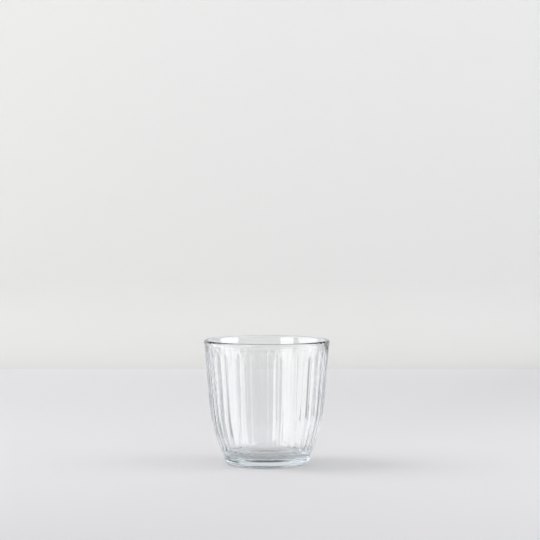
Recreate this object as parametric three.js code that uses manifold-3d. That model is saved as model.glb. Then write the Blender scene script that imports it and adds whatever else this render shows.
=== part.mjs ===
// Clear pressed-glass tumbler: a smooth drinking rim, a bowl with ribs all round and a thick rounded foot.
// Millimetres, +Z up. The origin is the centre of the flat ring that the glass stands on.
import * as THREE from "three";
import { mergeVertices } from "three/addons/utils/BufferGeometryUtils.js";
import Module from "manifold-3d";

// Wall and rim
const HEIGHT = 83; // resting ring to the top of the lip
const RIM_DIAMETER = 84; // outside of the lip, the widest point
const WALL = 3; // from the crests of the ribs to the inside
const LIP_BEAD = 0.4; // how far the rounded lip stands out from the wall
const NECK_RADIUS = 3; // hollow curve between the lip and the wall
const TAPER_DEGREES = 4.75; // lean of the straight upper wall
const BELLY_HEIGHT = 35.8; // from the foot up to where the wall runs straight
const BELLY_DRAW = 6.36; // how far the belly brings the foot in from the line of the straight wall

// Inside, the shape of the plunger
const BOTTOM_THICKNESS = 0.8; // of the bowl's own bottom, above the foot
const CORNER_RADIUS = 9; // between the inside floor and the wall

// Foot
const FOOT_HEIGHT = 6.2; // resting ring to where the ribs end
const HEEL_WIDTH = 5; // rounded heel, from the resting ring out to the foot's edge
const RING_WIDTH = 2.8; // flat resting ring
const PUNT_DEPTH = 1.2; // rise of the shallow hollow inside the ring

// Ribs, rounded, with a sharp groove between each two
const RIB_COUNT = 40;
const GROOVE_DEPTH = 0.35; // below the crests, where the bowl is widest
const BAND_HEIGHT = 5.5; // from the top of the lip down to where the grooves begin
const ARCH_HEIGHT = 6.2; // over which the grooves sink in, which gives the ribs arched tops
const TOE_HEIGHT = 2.4; // over which they run out again above the foot

// Fineness of the facets
const COLUMNS_PER_HALF_RIB = 3;
const SMOOTH_SEGMENTS = 3 * RIB_COUNT; // round the surfaces that have no ribs
const ARC_STEPS = 4; // along a rounded corner
const HEEL_STEPS = 6; // round the heel
const LIP_STEPS = 3; // over each half of the lip
const NECK_STEPS = 2; // along the neck, and from there to the lip's widest point
const BELLY_STEPS = 5; // down the belly
const MERGE_DISTANCE = 1e-4; // joins a revolve's first and last columns

const taper = THREE.MathUtils.degToRad(TAPER_DEGREES);
const lipRadius = (WALL + LIP_BEAD) / 2;
const ribTop = HEIGHT - BAND_HEIGHT;
const bellyTop = FOOT_HEIGHT + BELLY_HEIGHT;

// Profiles lie in a half plane: x is the distance from the axis and y is the height.
const lipCentre = new THREE.Vector2(RIM_DIAMETER / 2 - lipRadius, HEIGHT - lipRadius);
const outward = new THREE.Vector2(Math.cos(taper), -Math.sin(taper)); // square to the straight wall
const footEdge = new THREE.Vector2(straightRadius(FOOT_HEIGHT, 0) - BELLY_DRAW, FOOT_HEIGHT);

// The belly is the arc that leaves the straight wall without a kink and ends at the foot's edge.
const bellyStart = new THREE.Vector2(straightRadius(bellyTop, 0), bellyTop);
const bellyChord = footEdge.clone().sub(bellyStart);
const bellyRadius = -bellyChord.lengthSq() / (2 * bellyChord.dot(outward));
const bellyCentre = bellyStart.clone().addScaledVector(outward, -bellyRadius);

// Distance from the axis to the straight wall at a height, a depth inside the crests.
function straightRadius(height, inset) {
  const leanIn = (lipCentre.y - height) * Math.tan(taper);
  return lipCentre.x - leanIn + (lipRadius - LIP_BEAD - inset) / Math.cos(taper);
}

// Height where the straight wall meets the belly, a depth inside the crests.
function bellyTopAt(inset) {
  return bellyTop + inset * Math.sin(taper);
}

// Distance from the axis to the wall at a height: straight above, and the belly's arc below.
function wallRadius(height, inset) {
  if (height >= bellyTopAt(inset)) return straightRadius(height, inset);
  return bellyCentre.x + Math.sqrt((bellyRadius - inset) ** 2 - (height - bellyCentre.y) ** 2);
}

// Points of the wall at some heights.
function wallPoints(heights, inset) {
  return heights.map((height) => new THREE.Vector2(wallRadius(height, inset), height));
}

// Points of an arc in the half plane, from one angle to another.
function arc(centre, radius, from, to, steps) {
  return new THREE.EllipseCurve(centre.x, centre.y, radius, radius, from, to, from > to).getPoints(steps);
}

// Evenly spaced numbers, both ends included.
function spaced(from, to, steps) {
  return Array.from({ length: steps + 1 }, (_, i) => THREE.MathUtils.lerp(from, to, i / steps));
}

// A profile turned about the Z axis.
function revolve(profile, segments) {
  return new THREE.LatheGeometry(profile, segments).rotateX(Math.PI / 2);
}

// How far the wall lies below the crests. A rib is round across, and at both its ends the floor of the
// grooves rises to the crests. The relief grows shallower as the bowl narrows, and the ribs with it.
function grooveDepth(angle, height) {
  const narrowing = wallRadius(height, 0) / wallRadius(ribTop, 0);
  const turns = (angle / (2 * Math.PI)) * RIB_COUNT;
  const across = 2 * (turns - Math.round(turns)); // 0 on a crest, 1 in a groove
  const belowTop = (ribTop - height) / ARCH_HEIGHT;
  const aboveToe = (height - FOOT_HEIGHT) / TOE_HEIGHT;
  return GROOVE_DEPTH * narrowing ** 2 * Math.min(across ** 2, belowTop, aboveToe);
}

// Heights of the rows of facets. Where the grooves run out, a row lies where their floor meets each column.
function ribRows() {
  const meetings = spaced(0, 1, COLUMNS_PER_HALF_RIB).map((across) => across ** 2);
  const toe = meetings.map((share) => FOOT_HEIGHT + share * TOE_HEIGHT);
  const belly = spaced(toe.at(-1), bellyTop, BELLY_STEPS).slice(1);
  const arch = meetings.map((share) => ribTop - share * ARCH_HEIGHT).reverse();
  return [...toe, ...belly, ...arch];
}

// The outside of the bowl as a solid block: a turned form whose surface is sunk into the grooves.
function ribbedBlock() {
  const bottom = new THREE.Vector2(0, FOOT_HEIGHT);
  const top = new THREE.Vector2(0, ribTop);
  const profile = [bottom, ...wallPoints(ribRows(), 0), top];
  const block = revolve(profile, RIB_COUNT * 2 * COLUMNS_PER_HALF_RIB);
  const position = block.getAttribute("position");
  for (let i = 0; i < position.count; i++) {
    const radius = Math.hypot(position.getX(i), position.getY(i));
    if (radius === 0) continue;
    const angle = Math.atan2(position.getY(i), position.getX(i));
    const sunk = 1 - grooveDepth(angle, position.getZ(i)) / radius;
    position.setXY(i, position.getX(i) * sunk, position.getY(i) * sunk);
  }
  return block;
}

// The inside of the bowl as a solid block: a flat floor, a round corner and a wall that follows the outside.
function plunger() {
  const floorHeight = FOOT_HEIGHT + BOTTOM_THICKNESS;
  const cornerHeight = floorHeight + CORNER_RADIUS;
  const cornerCentre = new THREE.Vector2(wallRadius(cornerHeight, WALL + CORNER_RADIUS), cornerHeight);
  const cornerEnd = Math.atan2(cornerHeight - bellyCentre.y, cornerCentre.x - bellyCentre.x);
  const corner = arc(cornerCentre, CORNER_RADIUS, -Math.PI / 2, cornerEnd, ARC_STEPS);
  const belly = spaced(corner.at(-1).y, bellyTopAt(WALL), BELLY_STEPS).slice(1);
  const wall = wallPoints([...belly, HEIGHT], WALL);
  const bottom = new THREE.Vector2(0, floorHeight);
  const top = new THREE.Vector2(0, HEIGHT);
  return revolve([bottom, ...corner, ...wall, top], SMOOTH_SEGMENTS);
}

// A ring with a rounded lip that stands out from the wall over a hollow neck.
function rimGeometry() {
  const [inside] = wallPoints([ribTop], WALL);
  const [outside] = wallPoints([ribTop], 0);
  const inward = Math.PI - taper;
  const reach = lipRadius + NECK_RADIUS;
  const neckTurn = Math.acos((reach - LIP_BEAD) / reach);
  const neckAngle = -taper - neckTurn;
  const toNeck = new THREE.Vector2(Math.cos(neckAngle), Math.sin(neckAngle));
  const neckCentre = lipCentre.clone().addScaledVector(toNeck, reach);
  const neck = arc(neckCentre, NECK_RADIUS, inward, inward - neckTurn, NECK_STEPS);
  const under = arc(lipCentre, lipRadius, neckAngle, 0, NECK_STEPS).slice(1);
  const outer = arc(lipCentre, lipRadius, 0, Math.PI / 2, LIP_STEPS).slice(1);
  const inner = arc(lipCentre, lipRadius, Math.PI / 2, inward, LIP_STEPS).slice(1);
  return revolve([inside, outside, ...neck, ...under, ...outer, ...inner, inside], SMOOTH_SEGMENTS);
}

// A thick disc with a rounded heel. It stands on a flat ring round a shallow hollow.
function footGeometry() {
  const ringOuter = footEdge.x - HEEL_WIDTH;
  const ringInner = ringOuter - RING_WIDTH;
  const puntRadius = (ringInner ** 2 + PUNT_DEPTH ** 2) / (2 * PUNT_DEPTH);
  const puntCentre = new THREE.Vector2(0, PUNT_DEPTH - puntRadius);
  const puntEnd = Math.atan2(-puntCentre.y, ringInner);
  const punt = arc(puntCentre, puntRadius, Math.PI / 2, puntEnd, ARC_STEPS);
  const heelRadius = (HEEL_WIDTH ** 2 + FOOT_HEIGHT ** 2) / (2 * FOOT_HEIGHT);
  const heelCentre = new THREE.Vector2(ringOuter, heelRadius);
  const heelEnd = Math.atan2(FOOT_HEIGHT - heelRadius, HEEL_WIDTH);
  const heel = arc(heelCentre, heelRadius, -Math.PI / 2, heelEnd, HEEL_STEPS);
  const top = new THREE.Vector2(0, FOOT_HEIGHT);
  return revolve([...punt, ...heel, top], SMOOTH_SEGMENTS);
}

const wasm = await Module();
wasm.setup();

// A closed geometry as a solid that can be cut.
function solidFrom(geometry) {
  const bare = geometry.clone();
  bare.deleteAttribute("normal");
  bare.deleteAttribute("uv");
  const merged = mergeVertices(bare, MERGE_DISTANCE);
  const vertProperties = merged.getAttribute("position").array;
  const triVerts = new Uint32Array(merged.index.array);
  return new wasm.Manifold(new wasm.Mesh({ numProp: 3, vertProperties, triVerts }));
}

// A cut solid as a geometry again.
function geometryFrom(solid) {
  const mesh = solid.getMesh();
  const geometry = new THREE.BufferGeometry();
  geometry.setAttribute("position", new THREE.BufferAttribute(mesh.vertProperties, 3));
  geometry.setIndex(new THREE.BufferAttribute(mesh.triVerts, 1));
  geometry.computeVertexNormals();
  return geometry;
}

// The bowl is what the plunger leaves of the ribbed block.
function bowlGeometry() {
  return geometryFrom(solidFrom(ribbedBlock()).subtract(solidFrom(plunger())));
}

// A zone of the glass, with its own clear material.
function zone(name, geometry) {
  const clearGlass = new THREE.MeshStandardMaterial({
    color: "#e8eef0",
    roughness: 0.05,
    metalness: 0,
    transparent: true,
    opacity: 0.35,
  });
  const mesh = new THREE.Mesh(geometry, clearGlass);
  mesh.name = name;
  return mesh;
}

const tumbler = new THREE.Group();
tumbler.add(zone("rim", rimGeometry()));
tumbler.add(zone("bowl", bowlGeometry()));
tumbler.add(zone("foot", footGeometry()));

export default tumbler;
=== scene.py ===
"""A clear pressed-glass tumbler with ribs, and the pale studio that it stands in."""

import math
from typing import NamedTuple

import bmesh
import bpy
from bpy.props import FloatProperty, FloatVectorProperty, IntProperty, PointerProperty
from mathutils import Matrix, Vector


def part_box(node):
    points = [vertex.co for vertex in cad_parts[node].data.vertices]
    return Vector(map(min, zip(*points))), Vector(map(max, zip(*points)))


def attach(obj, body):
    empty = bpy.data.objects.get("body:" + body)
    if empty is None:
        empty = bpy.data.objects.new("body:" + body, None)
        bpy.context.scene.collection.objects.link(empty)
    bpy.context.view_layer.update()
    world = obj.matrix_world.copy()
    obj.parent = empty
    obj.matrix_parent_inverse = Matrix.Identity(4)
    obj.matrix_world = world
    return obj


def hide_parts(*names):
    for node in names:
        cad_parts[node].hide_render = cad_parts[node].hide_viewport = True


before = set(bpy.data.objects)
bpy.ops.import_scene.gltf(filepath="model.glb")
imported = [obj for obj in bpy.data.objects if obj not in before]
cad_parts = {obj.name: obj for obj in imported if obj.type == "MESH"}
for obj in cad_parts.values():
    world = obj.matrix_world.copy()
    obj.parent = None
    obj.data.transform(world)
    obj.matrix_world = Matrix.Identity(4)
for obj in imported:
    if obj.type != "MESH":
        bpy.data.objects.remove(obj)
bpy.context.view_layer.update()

bl_info = {
    "name": "Ribbed Tumbler",
    "version": (1, 0, 0),
    "blender": (4, 5, 0),
    "location": "View3D > Sidebar > Tumbler",
    "description": "Builds a pressed-glass tumbler with ribs and a pale studio round it",
    "category": "Add Mesh",
}

RIM_LOW, RIM_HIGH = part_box("rim")
_, FOOT_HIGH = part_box("foot")
ZONES = ("rim", "bowl", "foot")
MILLIMETRE = 0.001
QUARTER_TURN = math.pi / 2
MERGE_DISTANCE = 1e-7


def linear(hex_colour):
    """An sRGB colour such as #e5e5e7 as linear red, green and blue."""
    parts = [int(hex_colour[i:i + 2], 16) / 255 for i in (1, 3, 5)]
    return [p / 12.92 if p <= 0.04045 else ((p + 0.055) / 1.055) ** 2.4 for p in parts]


class TumblerSizes(bpy.types.PropertyGroup):
    """Sizes of the glass that the frame's boxes don't give."""

    wall: FloatProperty(
        name="Wall", description="From the crests of the ribs to the inside",
        default=3.0 * MILLIMETRE, unit="LENGTH")
    bead: FloatProperty(
        name="Bead", description="How far the lip stands out from the wall",
        default=0.4 * MILLIMETRE, unit="LENGTH")
    neck_radius: FloatProperty(
        name="Neck radius", description="Hollow curve between the lip's bead and the wall",
        default=3.0 * MILLIMETRE, unit="LENGTH")
    taper: FloatProperty(
        name="Taper", description="Lean of the straight upper wall",
        default=math.radians(4.75), subtype="ANGLE")
    belly_height: FloatProperty(
        name="Belly height", description="From the foot up to where the wall runs straight",
        default=35.8 * MILLIMETRE, unit="LENGTH")
    belly_draw: FloatProperty(
        name="Belly draw", description="How far the belly brings the foot in from the straight wall",
        default=6.36 * MILLIMETRE, unit="LENGTH")
    floor_height: FloatProperty(
        name="Floor height", description="From the table to the inside floor",
        default=7.0 * MILLIMETRE, unit="LENGTH")
    corner_radius: FloatProperty(
        name="Corner radius", description="Between the inside floor and the wall",
        default=9.0 * MILLIMETRE, unit="LENGTH")
    heel_width: FloatProperty(
        name="Heel width", description="Rounded heel, from the resting ring out to the foot's edge",
        default=5.0 * MILLIMETRE, unit="LENGTH")
    ring_width: FloatProperty(
        name="Ring width", description="Flat ring that the glass stands on",
        default=2.8 * MILLIMETRE, unit="LENGTH")
    punt_depth: FloatProperty(
        name="Punt depth", description="Rise of the shallow hollow inside the ring",
        default=1.2 * MILLIMETRE, unit="LENGTH")
    rib_count: IntProperty(
        name="Ribs", description="Number of ribs round the bowl", default=40)
    groove_depth: FloatProperty(
        name="Groove depth", description="From the crests down to the grooves, where the bowl is widest",
        default=0.35 * MILLIMETRE, unit="LENGTH")
    arch_height: FloatProperty(
        name="Arch height", description="Over which the grooves sink in below the rim",
        default=6.2 * MILLIMETRE, unit="LENGTH")
    toe_height: FloatProperty(
        name="Toe height", description="Over which the grooves run out above the foot",
        default=2.4 * MILLIMETRE, unit="LENGTH")
    polish: FloatProperty(
        name="Fire polish", description="How far the flame rounds the edges where the grooves run out",
        default=0.03 * MILLIMETRE, unit="LENGTH")


class GlassFinish(bpy.types.PropertyGroup):
    """Look of the glass."""

    ior: FloatProperty(
        name="IOR", description="Index of refraction of soda-lime glass", default=1.52)
    roughness: FloatProperty(
        name="Roughness", description="Greatest roughness of the fire-polished skin",
        default=0.004, subtype="FACTOR")
    ripple_pitch: FloatProperty(
        name="Ripple pitch", description="Between the waves that the cold mould left in the skin",
        default=7.0 * MILLIMETRE, unit="LENGTH")
    ripple_height: FloatProperty(
        name="Ripple height", description="Of those waves", default=0.0002 * MILLIMETRE, unit="LENGTH")
    shadow_clearness: FloatProperty(
        name="Shadow clearness", description="Share of the light that each skin lets through to the table",
        default=0.95, subtype="FACTOR")
    tint: FloatVectorProperty(
        name="Tint", description="Colour of light after a long way through the glass",
        default=linear("#c4dae7"), subtype="COLOR")
    tint_density: FloatProperty(
        name="Tint density", description="Absorption in the thickness of the glass, for each metre",
        default=7.5)


class StudioSettings(bpy.types.PropertyGroup):
    """Camera, stage and light. The studio's own axes are right, away from the camera, and up."""

    turn: FloatProperty(
        name="Turn", description="Of the studio about the glass, so that the ribs stand as in the photo",
        default=math.radians(-1.4), subtype="ANGLE")
    distance: FloatProperty(
        name="Camera distance", description="From the camera to the axis of the glass, along the table",
        default=1.585, unit="LENGTH")
    eye_height: FloatProperty(
        name="Eye height", description="Camera above the table", default=0.203, unit="LENGTH")
    tilt: FloatProperty(
        name="Tilt", description="Camera's look down", default=math.radians(2.66), subtype="ANGLE")
    field: FloatProperty(
        name="Field of view", description="Across the picture", default=math.radians(12.9),
        subtype="ANGLE")
    aside: FloatProperty(
        name="Aside", description="How far right of the glass the camera looks and stands",
        default=2.1 * MILLIMETRE, unit="LENGTH")
    table_colour: FloatVectorProperty(
        name="Table", description="Pale painted table", default=linear("#eeedef"), subtype="COLOR")
    backdrop_colour: FloatVectorProperty(
        name="Backdrop", description="Pale card behind it", default=linear("#e5e5e3"), subtype="COLOR")
    backdrop_distance: FloatProperty(
        name="Backdrop distance", description="From the axis of the glass to the backdrop",
        default=0.8, unit="LENGTH")
    backdrop_left: FloatProperty(
        name="Backdrop left", description="How far the backdrop reaches left of the glass",
        default=1.5, unit="LENGTH")
    backdrop_right: FloatProperty(
        name="Backdrop right", description="How far it reaches right, beyond which the room is dark",
        default=0.45, unit="LENGTH")
    backdrop_height: FloatProperty(
        name="Backdrop height", description="Above which the dark room shows in the foot of the glass",
        default=0.42, unit="LENGTH")
    backdrop_bend: FloatProperty(
        name="Backdrop bend", description="Radius of the backdrop's curve up from the table",
        default=0.08, unit="LENGTH")
    # The two cards are painted shade: seen only in the glass, they stand in for the dimmer table at either
    # side, darker at the right, and draw the lines of the ribs.
    left_shade_colour: FloatVectorProperty(
        name="Left card", description="Grey card that draws the lines of the ribs at the left",
        default=linear("#a0a0a0"), subtype="COLOR")
    right_shade_colour: FloatVectorProperty(
        name="Right card", description="Grey card that draws the lines of the ribs at the right",
        default=linear("#5c5c5c"), subtype="COLOR")
    room_light: FloatProperty(
        name="Room", description="Brightness of the dim room round the stage", default=0.04)


class SoftBox(NamedTuple):
    """Upright soft light that faces the glass across the table. Azimuth is in degrees, with 0 behind
    the glass and 90 at its right, and brightness is 1 for a surface that looks white. A box that isn't on
    the table is screened from it and only shows in the glass."""

    name: str
    azimuth: float
    width: float
    bottom: float
    height: float
    brightness: float
    colour: str
    on_table: bool


class Card(NamedTuple):
    """Slice of a ring of painted shade on the table, between two azimuths in degrees and two distances
    from the glass.
    """

    first: float
    last: float
    near: float
    far: float


TABLE_HALF_WIDTH = 0.97
TABLE_HALF_LENGTH = 3.0
SOFT_BOX_DISTANCE = 1.0
SOFT_BOXES = (
    SoftBox("key light", -138, 0.5, 0.09, 0.75, 4.5, "#ffffff", False),
    SoftBox("left light", -85, 0.98, 0.035, 2.44, 3.1, "#ffffff", True),
    SoftBox("right light", 96, 0.85, 0.035, 2.44, 3.6, "#fbfdff", True),
    SoftBox("front light", 180, 2.4, 0.5, 1.6, 0.45, "#ffffff", True),
)
# Painted shade: where these cards lie, the glass shows the table darker, as if it lay in shade.
LEFT_SHADE_CARD = Card(-22, -38, 0.1, 1.3)
RIGHT_SHADE_CARD = Card(18, 36, 0.2, 1.3)
CARD_LIFT = 0.001


class Section:
    """Half section of the glass in the XZ plane: x is the distance from the axis and z the height."""

    def __init__(self, sizes):
        self.sizes = sizes
        self.height = RIM_HIGH.z
        self.rib_top = RIM_LOW.z
        self.foot_height = FOOT_HIGH.z
        self.lip_radius = (sizes.wall + sizes.bead) / 2
        self.lip_centre = Vector((RIM_HIGH.x - self.lip_radius, 0, self.height - self.lip_radius))
        foot_radius = self.straight_radius(self.foot_height) - sizes.belly_draw
        self.foot_edge = Vector((foot_radius, 0, self.foot_height))
        self.belly_top = self.foot_height + sizes.belly_height
        outward = Vector((math.cos(sizes.taper), 0, -math.sin(sizes.taper)))
        start = Vector((self.straight_radius(self.belly_top), 0, self.belly_top))
        chord = self.foot_edge - start
        self.belly_radius = -chord.length_squared / (2 * chord.dot(outward))
        self.belly_centre = start - outward * self.belly_radius

    def straight_radius(self, height, inset=0.0):
        """Distance from the axis to the straight wall, a depth inside the crests."""
        lean_in = (self.lip_centre.z - height) * math.tan(self.sizes.taper)
        outside = self.lip_radius - self.sizes.bead - inset
        return self.lip_centre.x - lean_in + outside / math.cos(self.sizes.taper)

    def belly_angle(self, height, inset=0.0):
        """Angle, about the centre of the belly's arc, of its point at a height."""
        return math.asin((height - self.belly_centre.z) / (self.belly_radius - inset))

    def wall_radius(self, height, inset=0.0):
        """Distance from the axis to the wall: straight above, and the belly's arc below."""
        if height >= self.belly_top + inset * math.sin(self.sizes.taper):
            return self.straight_radius(height, inset)
        reach = (self.belly_radius - inset) * math.cos(self.belly_angle(height, inset))
        return self.belly_centre.x + reach

    def groove_depth(self, across, height):
        """Depth below the crests: ribs that are round across, between grooves whose floor rises to the
        crests at both ends. The flame has rounded the edge between the two."""
        sizes = self.sizes
        narrowing = self.wall_radius(height) / self.wall_radius(self.rib_top)
        below_top = (self.rib_top - height) / sizes.arch_height
        above_toe = (height - self.foot_height) / sizes.toe_height
        rib = sizes.groove_depth * across ** 2
        run_out = sizes.groove_depth * min(below_top, above_toe)
        depth = (rib + run_out - math.hypot(rib - run_out, sizes.polish)) / 2
        return narrowing ** 2 * max(0.0, depth)


class Outline:
    """An open outline in the XZ plane, drawn from its first point onwards."""

    def __init__(self, mesh, start):
        self.mesh = mesh
        self.tip = mesh.verts.new(start)

    def line(self, end, steps):
        """Goes straight to a point in equal steps."""
        step = (Vector(end) - self.tip.co) / steps
        for _ in range(steps):
            made = bmesh.ops.extrude_vert_indiv(self.mesh, verts=[self.tip])
            self.tip = made["verts"][0]
            self.tip.co += step

    def arc(self, centre, start, end, steps):
        """Goes round a centre, from one angle to another, both measured from +X towards +Z."""
        made = bmesh.ops.spin(
            self.mesh, geom=[self.tip], cent=centre, axis=(0, 1, 0), angle=start - end, steps=steps)
        self.tip = next(item for item in made["geom_last"] if isinstance(item, bmesh.types.BMVert))


def draw_outline(mesh, section):
    """Half section of the glass, from the axis under the foot, up the outside, over the lip and down."""
    sizes = section.sizes
    ring_outer = section.foot_edge.x - sizes.heel_width
    ring_inner = ring_outer - sizes.ring_width
    punt_radius = (ring_inner ** 2 + sizes.punt_depth ** 2) / (2 * sizes.punt_depth)
    punt_centre = Vector((0, 0, sizes.punt_depth - punt_radius))
    heel_radius = (sizes.heel_width ** 2 + section.foot_height ** 2) / (2 * section.foot_height)
    heel_centre = Vector((ring_outer, 0, heel_radius))
    heel_end = math.atan2(section.foot_height - heel_radius, sizes.heel_width)
    toe_top = section.belly_angle(section.foot_height + sizes.toe_height)
    arch_foot = section.rib_top - sizes.arch_height

    outline = Outline(mesh, (0, 0, sizes.punt_depth))
    outline.arc(punt_centre, QUARTER_TURN, math.atan2(-punt_centre.z, ring_inner), steps=8)
    outline.line((ring_outer, 0, 0), steps=2)
    outline.arc(heel_centre, -QUARTER_TURN, heel_end, steps=18)
    outline.arc(section.belly_centre, section.belly_angle(section.foot_height), toe_top, steps=10)
    outline.arc(section.belly_centre, toe_top, -sizes.taper, steps=20)
    outline.line((section.straight_radius(arch_foot), 0, arch_foot), steps=6)
    outline.line((section.straight_radius(section.rib_top), 0, section.rib_top), steps=22)
    inward = math.pi - sizes.taper
    neck_reach = section.lip_radius + sizes.neck_radius
    neck_turn = math.acos((neck_reach - sizes.bead) / neck_reach)
    neck_angle = -sizes.taper - neck_turn
    neck_centre = section.lip_centre + neck_reach * Vector((math.cos(neck_angle), 0, math.sin(neck_angle)))
    neck_foot = neck_centre + sizes.neck_radius * Vector((math.cos(inward), 0, math.sin(inward)))
    outline.line(neck_foot, steps=4)
    outline.arc(neck_centre, inward, inward - neck_turn, steps=4)
    outline.arc(section.lip_centre, neck_angle, 0, steps=3)
    outline.arc(section.lip_centre, 0, QUARTER_TURN, steps=8)
    outline.arc(section.lip_centre, QUARTER_TURN, inward, steps=8)

    belly_top = section.belly_top + sizes.wall * math.sin(sizes.taper)
    corner_height = sizes.floor_height + sizes.corner_radius
    corner_inset = sizes.wall + sizes.corner_radius
    corner_angle = section.belly_angle(corner_height, corner_inset)
    corner_centre = Vector((section.wall_radius(corner_height, corner_inset), 0, corner_height))
    outline.line((section.straight_radius(belly_top, sizes.wall), 0, belly_top), steps=4)
    outline.arc(section.belly_centre, -sizes.taper, corner_angle, steps=14)
    outline.arc(corner_centre, corner_angle, -QUARTER_TURN, steps=12)
    outline.line((0, 0, sizes.floor_height), steps=3)


def press_rib(mesh, section, pitch):
    """Shapes one rib on the outside of a sector that is one pitch wide, with its crest on +X."""
    mid_wall = section.sizes.wall / 2
    for vert in mesh.verts:
        radius = math.hypot(vert.co.x, vert.co.y)
        if not section.foot_height < vert.co.z < section.rib_top:
            continue
        if radius < section.wall_radius(vert.co.z, mid_wall):
            continue
        across = math.atan2(vert.co.y, vert.co.x) / (pitch / 2)
        sunk = 1 - section.groove_depth(across, vert.co.z) / radius
        vert.co.x *= sunk
        vert.co.y *= sunk


def press_tumbler(sizes):
    """The whole glass as one closed skin: one rib's sector, repeated round the axis."""
    columns = 14
    pitch = 2 * math.pi / sizes.rib_count
    section = Section(sizes)
    mesh = bmesh.new()
    draw_outline(mesh, section)
    bmesh.ops.rotate(
        mesh, verts=mesh.verts, cent=(0, 0, 0), matrix=Matrix.Rotation(-pitch / 2, 3, "Z"))
    bmesh.ops.spin(
        mesh, geom=mesh.verts[:] + mesh.edges[:], cent=(0, 0, 0), axis=(0, 0, 1),
        angle=pitch, steps=columns)
    press_rib(mesh, section, pitch)
    bmesh.ops.spin(
        mesh, geom=mesh.verts[:] + mesh.edges[:] + mesh.faces[:], cent=(0, 0, 0), axis=(0, 0, 1),
        angle=2 * math.pi, steps=sizes.rib_count, use_duplicate=True)
    bmesh.ops.remove_doubles(mesh, verts=mesh.verts, dist=MERGE_DISTANCE)
    bmesh.ops.dissolve_degenerate(mesh, edges=mesh.edges, dist=MERGE_DISTANCE)
    bmesh.ops.recalc_face_normals(mesh, faces=mesh.faces)
    for face in mesh.faces:
        face.smooth = True
    return mesh


def add_object(name, mesh):
    """Puts a bmesh into the scene as an object at the origin."""
    data = bpy.data.meshes.new(name)
    mesh.to_mesh(data)
    mesh.free()
    item = bpy.data.objects.new(name, data)
    bpy.context.scene.collection.objects.link(item)
    return item


def add_node(tree, kind, settings=None, inputs=None, links=None):
    """A shader node with its settings, the values of its sockets and the outputs linked to them."""
    node = tree.nodes.new(kind)
    for key, value in (settings or {}).items():
        setattr(node, key, value)
    for key, value in (inputs or {}).items():
        node.inputs[key].default_value = value
    for key, output in (links or {}).items():
        tree.links.new(output, node.inputs[key])
    return node


def new_material(name):
    """An empty node material."""
    material = bpy.data.materials.new(name)
    material.use_nodes = True
    material.node_tree.nodes.clear()
    return material, material.node_tree


def pressed_glass(finish):
    """Soda-lime glass, pressed and fire-polished: clear, with a mirror-smooth skin that ripples slightly
    where the mould chilled it, and a faint blue-grey that shows only where the glass is thick. Each skin
    lets nearly all light through to the table, which leaves a soft pale shadow."""
    material, tree = new_material("pressed soda-lime glass, fire-polished")
    place = add_node(tree, "ShaderNodeTexCoord").outputs["Object"]
    ripple = add_node(
        tree, "ShaderNodeTexNoise", inputs={"Scale": 1 / finish.ripple_pitch, "Detail": 1.0},
        links={"Vector": place})
    waves = add_node(
        tree, "ShaderNodeBump", inputs={"Strength": 1.0, "Distance": finish.ripple_height},
        links={"Height": ripple.outputs["Fac"]})
    polish = add_node(
        tree, "ShaderNodeMapRange",
        inputs={"From Min": 0.5, "From Max": 0.8, "To Min": 0.0, "To Max": finish.roughness},
        links={"Value": ripple.outputs["Fac"]})
    skin = add_node(
        tree, "ShaderNodeBsdfPrincipled",
        inputs={"Base Color": (1, 1, 1, 1), "IOR": finish.ior, "Transmission Weight": 1.0},
        links={"Roughness": polish.outputs["Result"], "Normal": waves.outputs["Normal"]})
    body = add_node(
        tree, "ShaderNodeVolumeAbsorption",
        inputs={"Color": (*finish.tint, 1), "Density": finish.tint_density})
    shade = add_node(
        tree, "ShaderNodeBsdfTransparent", inputs={"Color": (*[finish.shadow_clearness] * 3, 1)})
    rays = add_node(tree, "ShaderNodeLightPath")
    surface = add_node(
        tree, "ShaderNodeMixShader",
        links={0: rays.outputs["Is Shadow Ray"], 1: skin.outputs["BSDF"], 2: shade.outputs["BSDF"]})
    add_node(
        tree, "ShaderNodeOutputMaterial",
        links={"Surface": surface.outputs["Shader"], "Volume": body.outputs["Volume"]})
    return material


def painted_board(name, colour):
    """Matt paint rolled on board: even and soft, with the fine grain of the roller and no shine."""
    grain_pitch = 1.5 * MILLIMETRE
    grain_height = 0.02 * MILLIMETRE
    material, tree = new_material(name)
    place = add_node(tree, "ShaderNodeTexCoord").outputs["Object"]
    grain = add_node(
        tree, "ShaderNodeTexNoise", inputs={"Scale": 1 / grain_pitch, "Detail": 2.0},
        links={"Vector": place})
    relief = add_node(
        tree, "ShaderNodeBump", inputs={"Strength": 1.0, "Distance": grain_height},
        links={"Height": grain.outputs["Fac"]})
    matting = add_node(
        tree, "ShaderNodeMapRange", inputs={"To Min": 0.8, "To Max": 0.95},
        links={"Value": grain.outputs["Fac"]})
    paint = add_node(
        tree, "ShaderNodeBsdfPrincipled",
        inputs={"Base Color": (*colour, 1), "Specular IOR Level": 0.1},
        links={"Roughness": matting.outputs["Result"], "Normal": relief.outputs["Normal"]})
    add_node(tree, "ShaderNodeOutputMaterial", links={"Surface": paint.outputs["BSDF"]})
    return material


class TUMBLER_OT_press_glass(bpy.types.Operator):
    """Press the tumbler as one seamless glass in place of its three zones"""

    bl_idname = "tumbler.press_glass"
    bl_label = "Press Glass"

    def execute(self, context):
        tumbler = add_object("tumbler", press_tumbler(context.scene.tumbler_sizes))
        tumbler.data.materials.append(pressed_glass(context.scene.tumbler_finish))
        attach(tumbler, "root")
        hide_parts(*ZONES)
        return {"FINISHED"}


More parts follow.
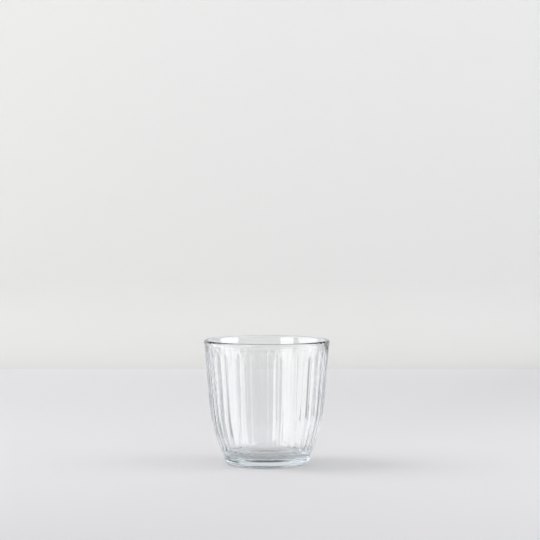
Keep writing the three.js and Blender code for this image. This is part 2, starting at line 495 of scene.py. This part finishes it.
def bend_backdrop(studio):
    """Card that rises from the table in a curve, and reaches further at the left of the glass."""
    mesh = bmesh.new()
    foot = studio.backdrop_distance - studio.backdrop_bend
    outline = Outline(mesh, (foot, 0, 0))
    outline.arc(Vector((foot, 0, studio.backdrop_bend)), -QUARTER_TURN, 0, steps=24)
    outline.line((studio.backdrop_distance, 0, studio.backdrop_height), steps=1)
    made = bmesh.ops.extrude_edge_only(mesh, edges=mesh.edges[:])
    moved = [item for item in made["geom"] if isinstance(item, bmesh.types.BMVert)]
    bmesh.ops.translate(mesh, verts=moved, vec=(0, studio.backdrop_left + studio.backdrop_right, 0))
    bmesh.ops.translate(mesh, verts=mesh.verts, vec=(0, -studio.backdrop_right, 0))
    bmesh.ops.rotate(
        mesh, verts=mesh.verts, cent=(0, 0, 0), matrix=Matrix.Rotation(QUARTER_TURN, 3, "Z"))
    for face in mesh.faces:
        face.smooth = True
    return mesh


def lay_table(half_width, half_length):
    """Flat table top with the glass in its middle."""
    mesh = bmesh.new()
    place = Matrix.Diagonal((half_width, half_length, 1, 1))
    bmesh.ops.create_grid(mesh, x_segments=1, y_segments=1, size=1, matrix=place)
    return mesh


def add_shade_card(name, card, colour):
    """Grey card of painted shade on the table, seen only through the glass as shaded table; cut as a slice
    of a ring round it.
    """
    mesh = bmesh.new()
    outline = Outline(mesh, (0, card.near, CARD_LIFT))
    outline.line((0, card.far, CARD_LIFT), steps=1)
    first, last = math.radians(card.first), math.radians(card.last)
    bmesh.ops.rotate(mesh, verts=mesh.verts, cent=(0, 0, 0), matrix=Matrix.Rotation(-first, 3, "Z"))
    bmesh.ops.spin(
        mesh, geom=mesh.verts[:] + mesh.edges[:], cent=(0, 0, 0), axis=(0, 0, 1),
        angle=first - last, steps=8)
    item = add_object(name, mesh)
    item.data.materials.append(painted_board("matt grey card of painted shade", colour))
    item.visible_camera = False
    item.visible_diffuse = False
    item.visible_shadow = False
    return item


def add_soft_box(box):
    """The area light for a soft box, as bright all over as it says."""
    light = bpy.data.lights.new(box.name, "AREA")
    light.shape = "RECTANGLE"
    light.size = box.width
    light.size_y = box.height
    light.color = linear(box.colour)
    light.energy = box.brightness * math.pi * box.width * box.height
    azimuth = math.radians(box.azimuth)
    towards = Vector((math.sin(azimuth), math.cos(azimuth), 0))
    place = towards * SOFT_BOX_DISTANCE
    place.z = box.bottom + box.height / 2
    lamp = bpy.data.objects.new(box.name, light)
    lamp.matrix_world = Matrix.LocRotScale(place, towards.to_track_quat("Z", "Y"), None)
    lamp.visible_camera = False
    lamp.visible_diffuse = box.on_table
    bpy.context.scene.collection.objects.link(lamp)
    return lamp


def dim_room(studio):
    """World of a dim room, whose walls the camera sees in the colour of the backdrop."""
    world = bpy.data.worlds.new("room")
    world.use_nodes = True
    tree = world.node_tree
    tree.nodes.clear()
    room = add_node(
        tree, "ShaderNodeBackground", inputs={"Color": (1, 1, 1, 1), "Strength": studio.room_light})
    seen = add_node(
        tree, "ShaderNodeBackground", inputs={"Color": (*studio.backdrop_colour, 1)})
    rays = add_node(tree, "ShaderNodeLightPath")
    mix = add_node(
        tree, "ShaderNodeMixShader",
        links={0: rays.outputs["Is Camera Ray"], 1: room.outputs[0], 2: seen.outputs[0]})
    add_node(tree, "ShaderNodeOutputWorld", links={"Surface": mix.outputs[0]})
    return world


def add_camera(studio):
    """Camera at the photo's angle, level from side to side."""
    lens = bpy.data.cameras.new("camera")
    lens.angle = studio.field
    camera = bpy.data.objects.new("camera", lens)
    camera.location = (studio.aside, -studio.distance, studio.eye_height)
    camera.rotation_euler = (QUARTER_TURN - studio.tilt, 0, 0)
    bpy.context.scene.collection.objects.link(camera)
    return camera


class TUMBLER_OT_set_studio(bpy.types.Operator):
    """Set up the table, the backdrop, the light and the camera"""

    bl_idname = "tumbler.set_studio"
    bl_label = "Set Studio"

    def execute(self, context):
        scene = context.scene
        studio = scene.tumbler_studio
        scene.view_settings.view_transform = "Standard"
        scene.cycles.max_bounces = 24
        scene.cycles.transmission_bounces = 24
        scene.cycles.glossy_bounces = 16
        scene.cycles.blur_glossy = 0
        scene.cycles.caustics_refractive = False
        scene.cycles.caustics_reflective = False
        turn = Matrix.Rotation(studio.turn, 4, "Z")

        table = add_object("table", lay_table(TABLE_HALF_WIDTH, TABLE_HALF_LENGTH))
        table.data.materials.append(painted_board("matt white table paint", studio.table_colour))
        backdrop = add_object("backdrop", bend_backdrop(studio))
        backdrop.data.materials.append(painted_board("matt white card", studio.backdrop_colour))
        # Painted shade: grey cards, seen only in the glass, that darken the table round it.
        left_shade_card = add_shade_card("left painted shade card", LEFT_SHADE_CARD, studio.left_shade_colour)
        right_shade_card = add_shade_card("right painted shade card", RIGHT_SHADE_CARD, studio.right_shade_colour)
        lamps = [add_soft_box(box) for box in SOFT_BOXES]
        scene.world = dim_room(studio)
        camera = add_camera(studio)
        scene.camera = camera
        context.view_layer.update()
        for item in (table, backdrop, left_shade_card, right_shade_card, *lamps, camera):
            item.matrix_world = turn @ item.matrix_world
        return {"FINISHED"}


class VIEW3D_PT_tumbler(bpy.types.Panel):
    """Lists the steps and their settings"""

    bl_label = "Ribbed Tumbler"
    bl_space_type = "VIEW_3D"
    bl_region_type = "UI"
    bl_category = "Tumbler"

    def draw(self, context):
        steps = (
            (TUMBLER_OT_press_glass, (context.scene.tumbler_sizes, context.scene.tumbler_finish)),
            (TUMBLER_OT_set_studio, (context.scene.tumbler_studio,)),
        )
        for step, groups in steps:
            box = self.layout.box()
            box.operator(step.bl_idname)
            for group in groups:
                for name in group.__annotations__:
                    box.prop(group, name)


CLASSES = (
    TumblerSizes,
    GlassFinish,
    StudioSettings,
    TUMBLER_OT_press_glass,
    TUMBLER_OT_set_studio,
    VIEW3D_PT_tumbler,
)


def register():
    for item in CLASSES:
        bpy.utils.register_class(item)
    bpy.types.Scene.tumbler_sizes = PointerProperty(type=TumblerSizes)
    bpy.types.Scene.tumbler_finish = PointerProperty(type=GlassFinish)
    bpy.types.Scene.tumbler_studio = PointerProperty(type=StudioSettings)


def unregister():
    del bpy.types.Scene.tumbler_studio
    del bpy.types.Scene.tumbler_finish
    del bpy.types.Scene.tumbler_sizes
    for item in reversed(CLASSES):
        bpy.utils.unregister_class(item)


def main():
    """Builds the glass and its studio."""
    register()
    bpy.ops.tumbler.press_glass()
    bpy.ops.tumbler.set_studio()


if __name__ == "__main__":
    main()
